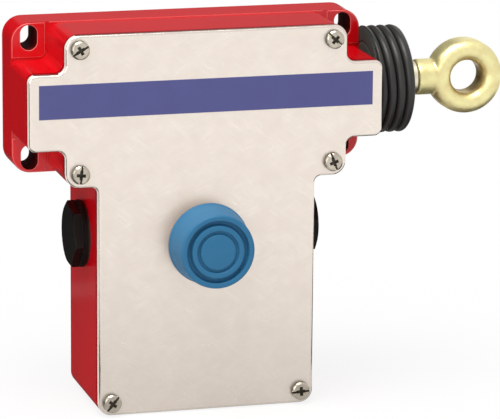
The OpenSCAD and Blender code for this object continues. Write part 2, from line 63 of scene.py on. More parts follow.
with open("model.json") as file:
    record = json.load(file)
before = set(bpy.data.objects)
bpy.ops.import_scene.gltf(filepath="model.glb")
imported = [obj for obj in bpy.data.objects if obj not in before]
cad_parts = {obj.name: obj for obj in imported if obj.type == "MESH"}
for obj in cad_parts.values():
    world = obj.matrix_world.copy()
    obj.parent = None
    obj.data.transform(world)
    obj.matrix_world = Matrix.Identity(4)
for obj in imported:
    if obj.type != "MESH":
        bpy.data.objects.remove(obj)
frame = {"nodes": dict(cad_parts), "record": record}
NODES = frame["nodes"]
MM = 0.001
X, Y, Z = Vector((1, 0, 0)), Vector((0, 1, 0)), Vector((0, 0, 1))

# ---- places taken from the frame ----
SWITCH_LOW, SWITCH_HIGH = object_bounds()
HOUSING_LOW, HOUSING_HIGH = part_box("housing")
COVER_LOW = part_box("cover_plate")[0]
BELLOWS_LOW, BELLOWS_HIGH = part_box("bellows")
BOOT_LOW, BOOT_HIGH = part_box("reset_boot")
EYE_LOW, EYE_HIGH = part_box("rope_eye")
SHAFT_LOW, SHAFT_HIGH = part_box("pull_shaft")
MOUNTS = {m["name"]: m for m in frame["record"]["mounts"]}
EYE_HOLE = Vector(MOUNTS["rope_eye_hole"]["pos_m"])
SLOT_PAIRS = [MOUNTS["slots_left"], MOUNTS["slots_right"]]
SLOTS = [Vector((m["pos_m"][0], 0, side * m["dims"]["spacing_y_mm"] / 2 * MM))
         for m in SLOT_PAIRS for side in (-1, 1)]
SLOT_END = SLOT_PAIRS[0]["dims"]["slot_length_mm"] / 2 * MM
EAR_FRONT = 2 * SLOT_PAIRS[0]["pos_m"][1]  # the slots' mounts lie halfway through the ears
PAD_FRONT = EAR_FRONT - 0.45 * MM
ROPE_AXIS = Vector((0, (SHAFT_LOW.y + SHAFT_HIGH.y) / 2, (SHAFT_LOW.z + SHAFT_HIGH.z) / 2))


def srgb(red, green, blue):
    """A colour given as three screen values from 0 to 255, as the linear one that Blender uses."""
    screen = (red / 255, green / 255, blue / 255)
    return tuple(c / 12.92 if c <= 0.04045 else ((c + 0.055) / 1.055) ** 2.4 for c in screen)


def length(name, description, default):
    return bpy.props.FloatProperty(
        name=name, description=description, default=default, min=0, max=20 * MM,
        precision=5, subtype="DISTANCE", unit="LENGTH")


def colour(name, description, default):
    return bpy.props.FloatVectorProperty(
        name=name, description=description, default=default, min=0, max=1, size=3, subtype="COLOR")


class SwitchSizes(bpy.types.PropertyGroup):
    """Roundings and forms that the finished pieces add to the frame."""

    casting_edge: length("Casting Edge", "Rounding of the housing's edges at its ears", 0.14 * MM)
    pad_edge: length("Pad Edge", "Rounding of the machined pads on the ears", 0.22 * MM)
    casting_fillet: length("Casting Fillet", "Fillet where the body rises from its ears", 0.6 * MM)
    cover_edge: length("Cover Edge", "Rounding of the cover's front edge", 1.0 * MM)
    screw_edge: length("Screw Edge", "Rounding of the screw heads", 0.25 * MM)
    plug_edge: length("Plug Edge", "Rounding of the blanking plugs", 0.25 * MM)
    rib_pitch: length("Rib Pitch", "Distance between the bellows' ribs", 3.5 * MM)
    rib_radius: length("Rib Radius", "Roundness of the bellows' ribs", 1.68 * MM)
    rib_depth: length("Rib Depth", "Depth of the grooves between the ribs", 3.2 * MM)
    ring_width: length("Ring Width", "Width of the eye's forged ring", 7.85 * MM)
    ring_corner: length("Ring Corner", "Rounding of the ring's section", 3.9 * MM)
    neck: length("Neck", "Diameter of the eye's neck", 13.5 * MM)
    shank_pitch: length("Shank Pitch", "Pitch of the thread on the eye's shank", 1.25 * MM)


class SwitchColours(bpy.types.PropertyGroup):
    """Colours of the finishes."""

    enamel: colour("Enamel", "Red enamel of the cast housing", srgb(216, 4, 20))
    # painted highlight: this pale enamel goes on the pads' rounded edges and the top ledge
    enamel_highlight: colour("Enamel Edge", "Pale enamel on sharp edges, a painted highlight", srgb(240, 112, 112))
    cover: colour("Cover", "Satin metal of the cover", srgb(248, 236, 225))
    band: colour("Band", "Printed band on the cover", srgb(78, 80, 138))
    screw: colour("Screws", "Plated steel of the screws", srgb(210, 200, 184))
    plug: colour("Plugs", "Moulded plastic of the blanking plugs", srgb(17, 12, 10))
    bellows: colour("Bellows", "Black rubber of the bellows and seals", srgb(38, 38, 37))
    # painted light: the green tint cancels the red light that the housing bounces onto the bellows' back
    # wall
    wall: colour("Bellows Wall", "Dull rubber of the bellows' back wall, tinted green against the housing's red bounce light", srgb(66, 84, 80))
    boot: colour("Boot", "Blue rubber of the reset button's boot", srgb(38, 109, 152))
    zinc: colour("Eye", "Yellow zinc plating of the rope eye", srgb(255, 247, 184))
    zinc_dull: colour("Eye Shadow", "Darker patches of the zinc plating", srgb(234, 212, 152))
    zinc_near_hole: colour("Eye Hole", "Brownish plating round the eye's hole", srgb(190, 160, 104))
    shaft: colour("Shaft", "Pale turned collar of the pull shaft", srgb(246, 236, 212))
    steel: colour("Steel", "Ground and turned steel inside", srgb(190, 190, 192))
    brass: colour("Brass", "Terminals and bush", srgb(214, 178, 104))
    cream: colour("Cream Plastic", "Moulded cam and terminal strip", srgb(222, 214, 190))
    red_plastic: colour("Red Plastic", "Contact plungers", srgb(190, 44, 34))
    black_plastic: colour("Black Plastic", "Contact blocks", srgb(44, 44, 48))


# ---- mesh helpers ----
WELD = 0.002 * MM                          # corners closer than this are one


def copy_of(node):
    """A clean mesh of a frame node: its corners joined and its flat faces whole."""
    bm = bmesh.new()
    bm.from_mesh(NODES[node].data)
    bmesh.ops.remove_doubles(bm, verts=bm.verts, dist=WELD)
    bmesh.ops.dissolve_limit(bm, angle_limit=math.radians(1), verts=bm.verts, edges=bm.edges,
                             delimit={"NORMAL"})
    return bm


def sharp_edges(bm, pick, angle=30):
    """The sharp edges that pick accepts."""
    return [e for e in bm.edges if e.is_manifold and e.calc_face_angle() > math.radians(angle) and pick(e)]


def round_edges(bm, edges, radius, segments, material=-1, clamp=True):
    """Rounds the edges; material is the number of the rounding's own finish."""
    bmesh.ops.bevel(bm, geom=edges, offset=radius, offset_type="OFFSET", affect="EDGES",
                    segments=segments, profile=0.5, clamp_overlap=clamp, material=material)


def at_depth(depth):
    """Accepts edges that lie at one distance from the mounting face."""
    return lambda edge: all(abs(v.co.y - depth) < 0.01 * MM for v in edge.verts)


def cut_faces(bm, faces, place, along):
    """Cuts the faces by a plane, so that their two sides can take different finishes."""
    around = {e for f in faces for e in f.edges} | {v for f in faces for v in f.verts}
    cut = bmesh.ops.bisect_plane(bm, geom=faces + list(around), plane_co=place, plane_no=along)
    return [part for part in cut["geom"] if isinstance(part, bmesh.types.BMFace)]


def longest_loop(edges):
    """The longest of the lines that the edges join up to."""
    left, best, best_length = set(edges), [], 0.0
    while left:
        loop, todo = [], [left.pop()]
        while todo:
            edge = todo.pop()
            loop.append(edge)
            near = {e for v in edge.verts for e in v.link_edges} & left
            left -= near
            todo.extend(near)
        total = sum(e.calc_length() for e in loop)
        if total > best_length:
            best, best_length = loop, total
    return best


def flat_distance(point, place):
    """Distance between two points as seen along the depth."""
    return math.hypot(point.x - place.x, point.z - place.z)


def place_on(bm, centre, axis):
    """Moves a body that was made about Z to its centre and turns it onto its axis."""
    turn = Z.rotation_difference(Vector(axis)).to_matrix().to_4x4()
    bmesh.ops.recalc_face_normals(bm, faces=bm.faces)
    bmesh.ops.transform(bm, matrix=Matrix.Translation(centre) @ turn, verts=bm.verts)


def turned(profile, centre, axis, steps, closed=False, rounding=()):
    """A body of revolution about axis through centre.

    profile holds pairs of radius and distance along the axis; rounding holds pairs of a corner's
    number in the profile and the radius that rounds it.
    """
    bm = bmesh.new()
    verts = [bm.verts.new((radius, 0, along)) for radius, along in profile]
    pairs = list(zip(verts, verts[1:])) + ([(verts[-1], verts[0])] if closed else [])
    for pair in pairs:
        bm.edges.new(pair)
    for radius in sorted({r for _, r in rounding}):
        corners = [verts[i] for i, r in rounding if r == radius]
        bmesh.ops.bevel(bm, geom=corners, offset=radius, offset_type="OFFSET", affect="VERTICES",
                        segments=5, profile=0.5, clamp_overlap=True, material=-1)
    bmesh.ops.spin(bm, geom=bm.verts[:] + bm.edges[:], cent=(0, 0, 0), axis=Z, dvec=(0, 0, 0),
                   angle=math.tau, steps=steps, use_merge=True)
    bmesh.ops.remove_doubles(bm, verts=bm.verts, dist=WELD)
    place_on(bm, centre, axis)
    return bm


def wound(radius, wire, turns, height, centre, axis):
    """A helical spring of round wire, with both ends closed."""
    bm = bmesh.new()
    made = bmesh.ops.create_circle(bm, cap_ends=False, radius=wire / 2, segments=10)
    place = Matrix.Translation((radius, 0, wire / 2)) @ Matrix.Rotation(math.pi / 2, 4, "X")
    bmesh.ops.transform(bm, matrix=place, verts=made["verts"])
    steps = turns * 28
    bmesh.ops.spin(bm, geom=bm.verts[:] + bm.edges[:], cent=(0, 0, 0), axis=Z,
                   dvec=(0, 0, (height - wire) / steps), angle=math.tau * turns, steps=steps)
    bmesh.ops.holes_fill(bm, edges=[e for e in bm.edges if e.is_boundary], sides=0)
    place_on(bm, centre, axis)
    return bm


def threaded(radius, depth, pitch, turns, start, axis):
    """A bar with a rolled thread: one ridge wound along it, and both ends closed."""
    bm = bmesh.new()
    steps = 36
    line = [bm.verts.new((r, 0, z)) for r, z in (
        (radius - depth, 0), (radius, 0.42 * pitch), (radius, 0.58 * pitch), (radius - depth, pitch))]
    for pair in zip(line, line[1:]):
        bm.edges.new(pair)
    bmesh.ops.spin(bm, geom=bm.verts[:] + bm.edges[:], cent=(0, 0, 0), axis=Z,
                   dvec=(0, 0, pitch / steps), angle=math.tau * turns, steps=steps * turns)
    bmesh.ops.remove_doubles(bm, verts=bm.verts, dist=WELD)
    bmesh.ops.holes_fill(bm, edges=[e for e in bm.edges if e.is_boundary], sides=0)
    place_on(bm, start, axis)
    return bm


def add_mesh(bm, other):
    """Puts the faces of the other mesh into this one."""
    passed = bpy.data.meshes.new("passed")
    other.to_mesh(passed)
    other.free()
    bm.from_mesh(passed)
    bpy.data.meshes.remove(passed)


def piece(name, bm, looks, replaced, smooth=35, weighted=False):
    """The object of a finished mesh, in place of the frame's nodes that replaced names.

    looks names its finishes, in the order of the faces' material numbers.
    """
    mesh = bpy.data.meshes.new(name)
    bm.to_mesh(mesh)
    bm.free()
    mesh.shade_smooth()
    mesh.set_sharp_from_angle(angle=math.radians(smooth))
    obj = bpy.data.objects.new(name, mesh)
    bpy.context.scene.collection.objects.link(obj)
    for look in looks:
        mesh.materials.append(FINISHES[look])
    if weighted:
        even = obj.modifiers.new("Even Normals", "WEIGHTED_NORMAL")
        even.keep_sharp = True
    if replaced:
        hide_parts(*replaced)
    return obj


# ---- shader node groups ----
def new_group(name, inputs, outputs):
    """An empty node group; inputs and outputs hold a name, a kind and, for inputs, a value."""
    group = bpy.data.node_groups.new(name, "ShaderNodeTree")
    for label, kind, *value in inputs:
        socket = group.interface.new_socket(name=label, in_out="INPUT", socket_type="NodeSocket" + kind)
        if value:
            socket.default_value = value[0]
    for label, kind in outputs:
        group.interface.new_socket(name=label, in_out="OUTPUT", socket_type="NodeSocket" + kind)
    return group, group.nodes.new("NodeGroupInput"), group.nodes.new("NodeGroupOutput")


def put(tree, socket, value):
    """Links the socket to another one, or gives it the number."""
    if isinstance(value, (int, float)):
        socket.default_value = value
    else:
        tree.links.new(value, socket)


# each of these adds one node, and returns the socket that its result comes from
def add_noise(tree, vector, scale, detail, roughness):
    noise = tree.nodes.new("ShaderNodeTexNoise")
    noise.inputs["Detail"].default_value = detail
    noise.inputs["Roughness"].default_value = roughness
    tree.links.new(vector, noise.inputs["Vector"])
    put(tree, noise.inputs["Scale"], scale)
    return noise.outputs["Fac"]


def add_range(tree, value, low, high, to_low=0.0, to_high=1.0):
    node = tree.nodes.new("ShaderNodeMapRange")
    tree.links.new(value, node.inputs["Value"])
    for label, end in (("From Min", low), ("From Max", high), ("To Min", to_low), ("To Max", to_high)):
        put(tree, node.inputs[label], end)
    return node.outputs["Result"]


def add_math(tree, operation, *values):
    node = tree.nodes.new("ShaderNodeMath")
    node.operation = operation
    for socket, value in zip(node.inputs, values):
        put(tree, socket, value)
    return node.outputs[0]


def add_mix(tree, factor, first, second):
    node = tree.nodes.new("ShaderNodeMix")
    node.data_type = "RGBA"
    factor_in, first_in, second_in = node.inputs[0], node.inputs[6], node.inputs[7]
    for socket, value in ((factor_in, factor), (first_in, first), (second_in, second)):
        if isinstance(value, tuple):
            socket.default_value = (*value, 1)
        else:
            put(tree, socket, value)
    return node.outputs[2]


def add_mapping(tree, vector, turn=(0, 0, 0), scale=(1, 1, 1)):
    node = tree.nodes.new("ShaderNodeMapping")
    node.inputs["Rotation"].default_value = turn
    node.inputs["Scale"].default_value = scale
    tree.links.new(vector, node.inputs["Vector"])
    return node.outputs["Vector"]


def colour_drift_group():
    """Slow, uneven change between two colours, as paint, rubber and plating have."""
    tree, entry, leave = new_group(
        "Colour Drift",
        [("Vector", "Vector"), ("Colour", "Color"), ("Drift", "Color"), ("Scale", "Float", 60.0),
         ("Amount", "Float", 0.5)],
        [("Colour", "Color"), ("Mask", "Float")])
    clouds = add_noise(tree, entry.outputs["Vector"], entry.outputs["Scale"], 4.0, 0.6)
    mask = add_range(tree, clouds, 0.35, 0.65)
    share = add_math(tree, "MULTIPLY", mask, entry.outputs["Amount"])
    mixed = add_mix(tree, share, entry.outputs["Colour"], entry.outputs["Drift"])
    tree.links.new(mixed, leave.inputs["Colour"])
    tree.links.new(mask, leave.inputs["Mask"])
    return tree


def fine_grain_group():
    """Small, even bumps and the change of gloss that goes with them."""
    tree, entry, leave = new_group(
        "Fine Grain",
        [("Vector", "Vector"), ("Scale", "Float", 900.0), ("Smooth", "Float", 0.3),
         ("Rough", "Float", 0.4)],
        [("Height", "Float"), ("Roughness", "Float")])
    height = add_noise(tree, entry.outputs["Vector"], entry.outputs["Scale"], 2.0, 0.5)
    tree.links.new(height, leave.inputs["Height"])
    tree.links.new(add_range(tree, height, 0.3, 0.7, entry.outputs["Smooth"], entry.outputs["Rough"]),
                   leave.inputs["Roughness"])
    return tree


def drawn_lines_group():
    """Fine scratches that run along the vector's X, broken into short strokes."""
    tree, entry, leave = new_group(
        "Drawn Lines",
        [("Vector", "Vector"), ("Scale", "Float", 40.0), ("Stretch", "Float", 12.0)],
        [("Mask", "Float"), ("Height", "Float")])
    split = tree.nodes.new("ShaderNodeSeparateXYZ")
    tree.links.new(entry.outputs["Vector"], split.inputs[0])
    join = tree.nodes.new("ShaderNodeCombineXYZ")
    tree.links.new(split.outputs["X"], join.inputs["X"])
    for axis in "YZ":
        stretched = add_math(tree, "MULTIPLY", split.outputs[axis], entry.outputs["Stretch"])
        tree.links.new(stretched, join.inputs[axis])
    lines = add_noise(tree, join.outputs[0], entry.outputs["Scale"], 5.0, 0.65)
    patches = add_noise(tree, entry.outputs["Vector"], entry.outputs["Scale"], 2.0, 0.5)
    breaks = add_range(tree, patches, 0.42, 0.6)
    mask = add_math(tree, "MULTIPLY", add_range(tree, lines, 0.42, 0.66), breaks)
    tree.links.new(mask, leave.inputs["Mask"])
    tree.links.new(lines, leave.inputs["Height"])
    return tree


def build_groups():
    """The shared node groups, by the short names that the finishes use."""
    return {"drift": colour_drift_group(), "grain": fine_grain_group(), "lines": drawn_lines_group()}


class Finish:
    """A material under construction: its principled shader, and the groups it is fed from."""

    def __init__(self, name, groups):
        self.material = bpy.data.materials.new(name)
        self.material.use_nodes = True
        self.tree = self.material.node_tree
        self.tree.nodes.clear()
        self.groups = groups
        self.shader = self.tree.nodes.new("ShaderNodeBsdfPrincipled")
        output = self.tree.nodes.new("ShaderNodeOutputMaterial")
        self.tree.links.new(self.shader.outputs[0], output.inputs["Surface"])
        self.place = self.tree.nodes.new("ShaderNodeTexCoord").outputs["Object"]

    def set(self, **values):
        for label, value in values.items():
            self.shader.inputs[label.replace("_", " ")].default_value = value

    def feed(self, socket, label):
        self.tree.links.new(socket, self.shader.inputs[label])

    def group(self, name, vector=None, **values):
        node = self.tree.nodes.new("ShaderNodeGroup")
        node.node_tree = self.groups[name]
        self.tree.links.new(vector or self.place, node.inputs["Vector"])
        for label, value in values.items():
            node.inputs[label].default_value = (*value, 1) if isinstance(value, tuple) else value
        return node.outputs

    def bump(self, height, depth, strength):
        node = self.tree.nodes.new("ShaderNodeBump")
        node.inputs["Distance"].default_value = depth
        node.inputs["Strength"].default_value = strength
        self.tree.links.new(height, node.inputs["Height"])
        self.feed(node.outputs["Normal"], "Normal")

    def tint(self, first, second, scale, amount, vector=None):
        """Colours the surface with the first tint, which drifts towards the second."""
        tone = self.group("drift", vector, Colour=tuple(first), Drift=tuple(second), Scale=scale,
                          Amount=amount)
        self.feed(tone["Colour"], "Base Color")
        return tone

    def skin(self, scale, smooth, rough, depth, strength):
        """Gives the surface a fine grain, in its gloss and as bumps of that depth."""
        grain = self.group("grain", Scale=scale, Smooth=smooth, Rough=rough)
        self.feed(grain["Roughness"], "Roughness")
        self.bump(grain["Height"], depth, strength)


def shade(tint, factor):
    """The tint made darker or brighter."""
    return tuple(min(1.0, c * factor) for c in tint)


# ---- finishes ----
def enamel_finish(groups, tint):
    """Glossy powder enamel with a slight orange peel."""
    make = Finish("red_enamel", groups)
    make.tint(tint, shade(tint, 0.86), 22.0, 0.7)
    make.skin(420.0, 0.16, 0.2, 0.02 * MM, 0.12)
    return make.material


def cover_finish(groups, tint):
    """Satin metal sheet, marked by short strokes in two crossing directions."""
    make = Finish("satin_cover", groups)
    make.set(Metallic=0.9)
    tree = make.tree
    flat = add_mapping(tree, make.place, scale=(1, 0.01, 1))
    first, second = (
        make.group("lines", add_mapping(tree, flat, turn=(0, math.radians(turn), 0)), Scale=scale,
                   Stretch=stretch)
        for turn, scale, stretch in ((24, 130.0, 7.0), (-38, 110.0, 6.0)))
    strokes = add_math(tree, "MAXIMUM", first["Mask"], second["Mask"])
    tone = make.tint(tint, shade(tint, 0.93), 160.0, 0.5, flat)
    bright = add_math(tree, "MULTIPLY", strokes, 0.35)
    make.feed(add_mix(tree, bright, tone["Colour"], shade(tint, 1.12)), "Base Color")
    make.feed(add_range(tree, strokes, 0.0, 1.0, 0.34, 0.27), "Roughness")
    make.bump(add_math(tree, "ADD", first["Height"], second["Height"]), 0.02 * MM, 0.3)
    return make.material


def band_finish(groups, tint):
    """Printed lacquer with a faint dot grain."""
    make = Finish("band_print", groups)
    make.tint(tint, shade(tint, 1.08), 90.0, 0.6)
    make.skin(2600.0, 0.42, 0.52, 0.01 * MM, 0.3)
    return make.material


def rubber_finish(groups, name, tint, rough, specular, bloom=1.35, mirrored=None):
    """Moulded rubber: dull, with a paler bloom; mirrored is the colour it has in shiny faces, painted
    there as shade.
    """
    make = Finish(name, groups)
    make.set(Specular_IOR_Level=specular)
    tone = make.tint(tint, shade(tint, bloom), 130.0, 0.5)
    if mirrored:
        # painted shade: shiny faces see the rubber in this darker colour, which puts a shadow round it in
        # them
        path = make.tree.nodes.new("ShaderNodeLightPath")
        seen = add_mix(make.tree, path.outputs["Is Glossy Ray"], tone["Colour"], mirrored)
        make.feed(seen, "Base Color")
    make.skin(2200.0, rough, rough + 0.12, 0.03 * MM, 0.4)
    return make.material


def plastic_finish(groups, name, tint, rough=0.34, specular=0.5):
    """Moulded plastic with a fine spark grain."""
    make = Finish(name, groups)
    make.set(Specular_IOR_Level=specular)
    make.tint(tint, shade(tint, 0.88), 80.0, 0.5)
    make.skin(1500.0, rough, rough + 0.1, 0.03 * MM, 0.35)
    return make.material


def metal_finish(groups, name, tint, dull, rough=0.3, scale=120.0, metallic=1.0):
    """Plated or turned metal: drawn lines, and duller patches."""
    make = Finish(name, groups)
    make.set(Metallic=metallic)
    tone = make.tint(tint, dull, scale, 0.8)
    lines = make.group("lines", Scale=scale, Stretch=14.0)
    make.feed(add_range(make.tree, tone["Mask"], 0.0, 1.0, rough, rough + 0.14), "Roughness")
    make.bump(lines["Height"], 0.02 * MM, 0.35)
    return make.material


def zinc_finish(groups, tint, dull, near_hole_tint, centre):
    """Yellow zinc over a forging: cloudy, a little lumpy, and browner towards the hole."""
    make = Finish("yellow_zinc", groups)
    make.set(Metallic=0.85)
    tree = make.tree
    tone = make.tint(tint, dull, 260.0, 0.6)
    away = tree.nodes.new("ShaderNodeVectorMath")
    away.operation = "DISTANCE"
    tree.links.new(add_mapping(tree, make.place, scale=(1, 0, 1)), away.inputs[0])
    away.inputs[1].default_value = (centre.x, 0, centre.z)
    # the plating turns brown towards the hole
    rub = add_range(tree, away.outputs["Value"], 6.2 * MM, 8.2 * MM, 1.0, 0.0)
    rub = add_math(tree, "MULTIPLY", rub, add_range(tree, tone["Mask"], 0.0, 1.0, 0.45, 1.0))
    make.feed(add_mix(tree, rub, tone["Colour"], tuple(near_hole_tint)), "Base Color")
    make.skin(700.0, 0.34, 0.48, 0.2 * MM, 0.35)
    return make.material


FINISHES = {}


def build_finishes(colours):
    groups = build_groups()

    def metal(name, tint, factor, dull, **values):
        return metal_finish(groups, name, shade(tint, factor), shade(tint, dull), **values)

    def plastic(name, tint, factor=1.0, *values):
        return plastic_finish(groups, name, shade(tint, factor), *values)

    FINISHES.update({
        "enamel": enamel_finish(groups, colours.enamel),
        # painted shade: a dark copy of the enamel for the slots' inner walls
        "slot": plastic("slot_shade", colours.enamel, 0.2, 0.5, 0.2),
        # painted highlight on the pads' rounded edges and the ledge
        "edge": plastic("enamel_highlight", colours.enamel_highlight, 1.0, 0.2),
        "cover": cover_finish(groups, colours.cover),
        "rim": metal("cover_rim", colours.cover, 0.96, 0.94, rough=0.1, scale=160.0, metallic=0.9),
        # painted highlight: a pale, dull copy of the cover for its left-facing side
        "skirt_highlight": metal("cover_skirt", colours.cover, 1.2, 1.0, rough=0.5, scale=160.0, metallic=0.2),
        # painted shade: dark red for the cover's side wall, as the shadow in the gap at the housing
        "gap_shade": plastic("cover_gap_shade", colours.enamel, 0.35, 0.5, 0.3),
        "band": band_finish(groups, colours.band),
        "screw": metal("screw_steel", colours.screw, 1.0, 0.75, rough=0.2, scale=300.0),
        # painted shade: a dark copy of the steel for the hollows of the cross and slot
        "recess_shade": metal("screw_recess", colours.screw, 0.11, 0.06, rough=0.25),
        # painted shade: a darker copy of the steel for the heads' side walls
        "screw_side_shade": metal("screw_side_shade", colours.screw, 0.3, 0.18, rough=0.35),
        # painted highlight for one half of each slot
        "glint": metal("screw_glint", colours.screw, 1.7, 1.4, rough=0.4, metallic=0.1),
        "plug": plastic("plug_plastic", colours.plug, 1.0, 0.42, 0.2),
        # painted highlight: a much paler copy of the plastic for the plugs' rounded edges
        "plug_edge": plastic("plug_edge", colours.plug, 12.0, 0.3),
        "rubber": rubber_finish(groups, "black_rubber", colours.bellows, 0.36, 0.5),
        # painted light: green-tinted rubber that cancels the red bounce light from the housing
        "wall": rubber_finish(groups, "dull_rubber", colours.wall, 0.75, 0.05, 1.15),
        # painted shade: the boot shows brown in the cover's shine, as a shadow round its foot
        "boot": rubber_finish(groups, "blue_rubber", colours.boot, 0.5, 0.4, 1.06, srgb(124, 112, 104)),
        "zinc": zinc_finish(groups, colours.zinc, colours.zinc_dull, colours.zinc_near_hole, EYE_HOLE),
        "shaft": metal("shaft_collar", colours.shaft, 1.0, 0.85, rough=0.34),
        "steel": metal("ground_steel", colours.steel, 1.0, 0.8),
        "spring": metal("spring_steel", colours.steel, 1.0, 0.6, rough=0.24, scale=400.0),
        "brass": metal("brass", colours.brass, 1.0, 0.75),
        "black": plastic("black_plastic", colours.black_plastic),
        "cream": plastic("cream_plastic", colours.cream),
        "red": plastic("red_plastic", colours.red_plastic),
    })


# ---- operators, one for each piece or group of like pieces ----
class SWITCH_OT_finishes(bpy.types.Operator):
    """Make the materials from the colours"""

    bl_idname = "switch.finishes"
    bl_label = "Mix Finishes"

    def execute(self, context):
        build_finishes(context.scene.switch_colours)
        return {"FINISHED"}


class SWITCH_OT_housing(bpy.types.Operator):
    """Make the enamelled casting, its edges rounded and its ears filleted"""

    bl_idname = "switch.housing"
    bl_label = "Make Housing"

    def execute(self, context):
        sizes = context.scene.switch_sizes
        looks = ("enamel", "slot", "edge")
        arm = HOUSING_HIGH.z - 5.3 * MM          # the body rises from the ears below this height
        ledge = HOUSING_HIGH.z - 0.37 * MM       # strip of the base that shows above the body
        ledge_end = 52 * MM
        bm = copy_of("housing")

        def in_slot(vert):
            return any(flat_distance(vert.co, slot) < SLOT_END + 0.1 * MM for slot in SLOTS)

        def foot_of_body(edge):
            front = min(v.co.y for f in edge.link_faces for v in f.verts)
            return front < EAR_FRONT - 2 * MM and all(abs(v.co.z) < arm for v in edge.verts)

        def on_ledge(face):
            return face.normal.y < -0.3 and abs(face.calc_center_median().x) < ledge_end and all(
                v.co.z > ledge - 0.01 * MM and abs(v.co.y - EAR_FRONT) < 0.2 * MM for v in face.verts)

        ears = sharp_edges(bm, at_depth(EAR_FRONT))
        round_edges(bm, [e for e in ears if foot_of_body(e)], sizes.casting_fillet, 4)
        ears = sharp_edges(bm, lambda e: at_depth(EAR_FRONT)(e) and not foot_of_body(e))
        round_edges(bm, ears, sizes.casting_edge, 2)
        pads = sharp_edges(bm, at_depth(PAD_FRONT))
        # the pads' rounded edges take the pale enamel, a painted highlight
        round_edges(bm, pads, sizes.pad_edge, 2, looks.index("edge"))
        for place, along in (((0, 0, ledge), Z), ((-ledge_end, 0, 0), X), ((ledge_end, 0, 0), X)):
            flats = [f for f in bm.faces if all(at_depth(EAR_FRONT)(e) for e in f.edges)
                     and max(v.co.z for v in f.verts) > ledge]
            cut_faces(bm, flats, place, along)
        for face in bm.faces:
            # the ledge's front strip takes the pale enamel too, a painted highlight
            if on_ledge(face):
                face.material_index = looks.index("edge")
            # the slots' inner walls take the dark enamel, a painted shade
            elif abs(face.normal.y) < 0.3 and all(in_slot(v) for v in face.verts):
                face.material_index = looks.index("slot")
        obj = piece("housing_casting", bm, looks, ["housing"], weighted=True)
        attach(obj, "case")
        return {"FINISHED"}


class SWITCH_OT_cover(bpy.types.Operator):
    """Make the satin cover with its rounded front edge, and the printed band"""

    bl_idname = "switch.cover"
    bl_label = "Make Cover"

    def execute(self, context):
        sizes = context.scene.switch_sizes
        looks = ("cover", "rim", "skirt_highlight", "gap_shade")
        bm = copy_of("cover_plate")
        rim = longest_loop(sharp_edges(bm, at_depth(COVER_LOW.y)))
        round_edges(bm, rim, sizes.cover_edge, 8, looks.index("rim"), clamp=False)
        # painted light and shade: the wall's outer part and the rounding's side are painted pale where
        # they face left, and the rest of the wall is painted dark as the shadow in the gap at the housing
        split = COVER_LOW.y + 2 * MM
        walls = [f for f in bm.faces if abs(f.normal.y) < 0.2 and f.material_index == 0]
        cut_faces(bm, walls, (0, split, 0), Y)
        for face in bm.faces:
            lit = face.normal.x < -0.3
            if face.material_index == 0 and abs(face.normal.y) < 0.2:
                outer = lit and face.calc_center_median().y < split
                face.material_index = looks.index("skirt_highlight" if outer else "gap_shade")
            elif face.material_index == looks.index("rim") and face.normal.y > -0.6 and lit:
                face.material_index = looks.index("skirt_highlight")
        cover = piece("cover_sheet", bm, looks, ["cover_plate"], weighted=True)
        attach(cover, "case")
        bm = copy_of("stripe_band")
        round_edges(bm, sharp_edges(bm, at_depth(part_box("stripe_band")[0].y)), 0.1 * MM, 2)
        band = piece("cover_band", bm, ("band",), ["stripe_band"], weighted=True)
        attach(band, "case")
        return {"FINISHED"}


class SWITCH_OT_screws(bpy.types.Operator):
    """Make the cover screws with rounded heads"""

    bl_idname = "switch.screws"
    bl_label = "Make Cover Screws"

    def execute(self, context):
        sizes = context.scene.switch_sizes
        looks = ("screw", "recess_shade", "screw_side_shade", "glint")
        bm = copy_of("cover_screws")
        heads = sharp_edges(bm, lambda e: max(v.co.y for v in e.verts) < COVER_LOW.y - 0.1 * MM, 20)
        round_edges(bm, heads, sizes.screw_edge, 2)
        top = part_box("cover_screws")[0].y
        # the hollows and the heads' side walls take the dark copies of the steel: painted shade
        for face in bm.faces:
            middle = face.calc_center_median().y
            foot = max(v.co.y for v in face.verts)
            if top + 0.35 * MM < middle < COVER_LOW.y and face.normal.y < -0.2:
                face.material_index = looks.index("recess_shade")
            elif middle < COVER_LOW.y - 0.2 * MM and foot > COVER_LOW.y - 0.05 * MM:
                face.material_index = looks.index("screw_side_shade")
        # one half of each long slot, which is shallower than the cross, gets a painted highlight
        slots = [f for f in bm.faces if f.material_index == looks.index("recess_shade")
                 and f.calc_center_median().y < top + 1.3 * MM]
        lit_side = Vector((-0.8, 0, 0.6))
        for slot in slots:
            middle = slot.calc_center_median()
            side = max(slot.edges, key=lambda e: e.calc_length())
            across = (side.verts[1].co - side.verts[0].co).cross(Y).normalized()
            if across.dot(lit_side) < 0:
                across.negate()
            for half in cut_faces(bm, [slot], middle, across):
                if (half.calc_center_median() - middle).dot(across) > 0.05 * MM:
                    half.material_index = looks.index("glint")
        obj = piece("cover_screw_heads", bm, looks, ["cover_screws"], weighted=True)
        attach(obj, "case")
        return {"FINISHED"}


class SWITCH_OT_plugs(bpy.types.Operator):
    """Make the two blanking plugs with softened hexagons"""

    bl_idname = "switch.plugs"
    bl_label = "Make Blanking Plugs"

    def execute(self, context):
        sizes = context.scene.switch_sizes
        looks = ("plug", "plug_edge")
        for side in ("left", "right"):
            node = "plug_" + side
            low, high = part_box(node)
            flange = min(abs(low.x), abs(high.x)) + 9 * MM
            bm = copy_of(node)
            outer = sharp_edges(bm, lambda e: min(abs(v.co.x) for v in e.verts) > flange, 25)
            # the rounded outer edges take the pale plastic, a painted highlight
            round_edges(bm, outer, sizes.plug_edge, 3, looks.index("plug_edge"))
            obj = piece("blanking_plug_" + side, bm, looks, [node], weighted=True)
            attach(obj, "case")
        return {"FINISHED"}


